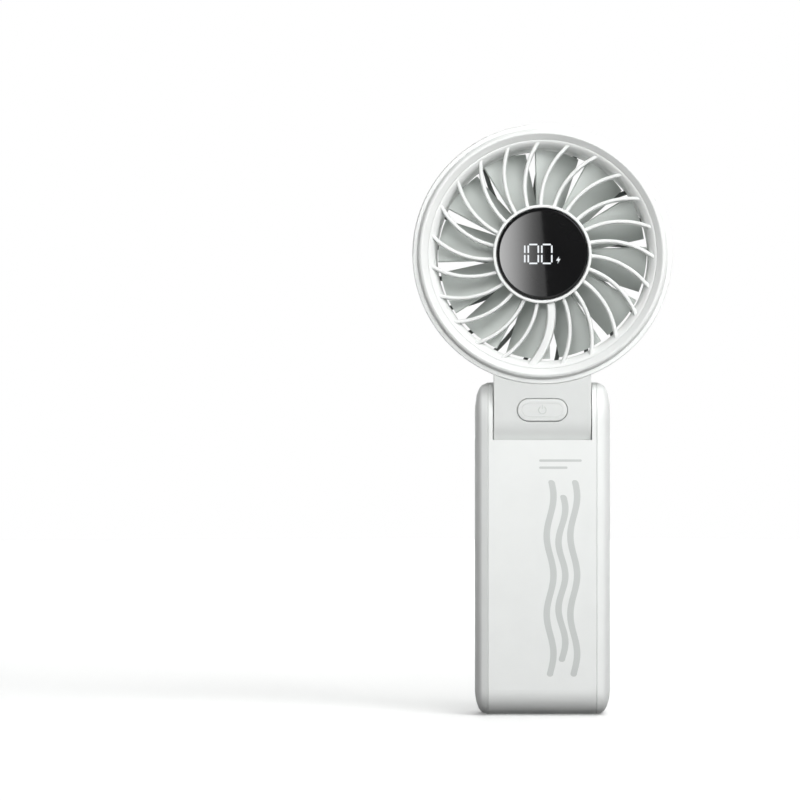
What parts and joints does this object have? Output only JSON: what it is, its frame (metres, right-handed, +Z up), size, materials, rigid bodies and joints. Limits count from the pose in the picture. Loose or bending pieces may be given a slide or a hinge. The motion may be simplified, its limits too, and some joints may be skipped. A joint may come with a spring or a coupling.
{
  "type": "folding handheld electric fan",
  "caption": "Slim rechargeable hand fan: round head with curved guard ribs and a lit round display, on a slab handle whose hinged neck folds back into a desk stand.",
  "frame": {"origin": "centre of the handle's flat base, under the middle of the fan standing upright and unfolded", "axes": "+Z up the handle to the head, -Y out of the front grille towards the user, +X to the right seen from the front"},
  "size_m": [0.088, 0.0299, 0.2005],
  "materials": {
    "white_shell": "satin",
    "neck_white": "satin",
    "white_trim": "satin",
    "button_white": "satin",
    "impeller_grey": "satin",
    "duct_white": "matt",
    "display_black": "gloss",
    "digit_light": "glowing",
    "module_black": "matt",
    "circuit_green": "satin",
    "steel": "bright",
    "bearing_steel": "polished",
    "core_steel": "laminated",
    "magnet_black": "matt",
    "brass": "satin",
    "copper": "enamelled",
    "cell_foil": "foil",
    "foam_grey": "matt",
    "plug_white": "matt",
    "rib_grey": "satin",
    "print_grey": "printed ink"
  },
  "bodies": {
    "handle": {"handle_front_shell": "white_shell", "handle_rear_shell": "white_shell", "left_side_cover": "white_shell", "right_side_cover": "white_shell", "lanyard_cap": "white_trim", "hinge_cap": "white_trim", "shell_screws": "steel", "screw_plugs": "plug_white", "hinge_bushes": "brass", "spring_washers": "steel", "battery_cells": "cell_foil", "battery_foam": "foam_grey", "control_board": "circuit_green", "board_chips": "module_black", "board_screws": "steel", "usb_socket": "steel"},
    "head": {"neck_front": "neck_white", "neck_rear": "neck_white", "neck_screws": "steel", "hinge_pins": "steel", "hinge_nuts": "steel", "button_board": "circuit_green", "button_board_screws": "steel", "button_switch": "module_black", "rear_housing": "white_shell", "front_bezel": "white_trim", "front_grille": "white_trim", "air_duct": "duct_white", "rear_grille": "rib_grey", "head_screws": "steel", "display_lens": "display_black", "display_digits": "digit_light", "display_module": "module_black", "display_board": "circuit_green", "bearing_tube": "brass", "motor_bearings": "bearing_steel", "motor_stator": "core_steel", "stator_coils": "copper", "motor_board": "circuit_green"},
    "rotor": {"impeller": "impeller_grey", "motor_shaft": "bearing_steel", "shaft_clip": "steel", "rotor_bell": "steel", "rotor_magnet": "magnet_black"},
    "button": {"power_button": "button_white", "switch_plunger": "module_black"}
  },
  "joints": [
    {"name": "head_fold", "type": "hinge", "parent": "handle", "child": "head", "pos_m": [0, 0, 0.1001], "axis": [-1, 0, 0], "range_deg": [0, 99]},
    {"name": "impeller_spin", "type": "hinge", "parent": "head", "child": "rotor", "pos_m": [0, 0, 0.1565], "axis": [0, 1, 0], "continuous": true},
    {"name": "button_press", "type": "slide", "parent": "head", "child": "button", "axis": [0, 1, 0], "range_m": [0, 0.0004], "stiffness_N_per_m": 2500, "springref_m": -0.0002}
  ]
}
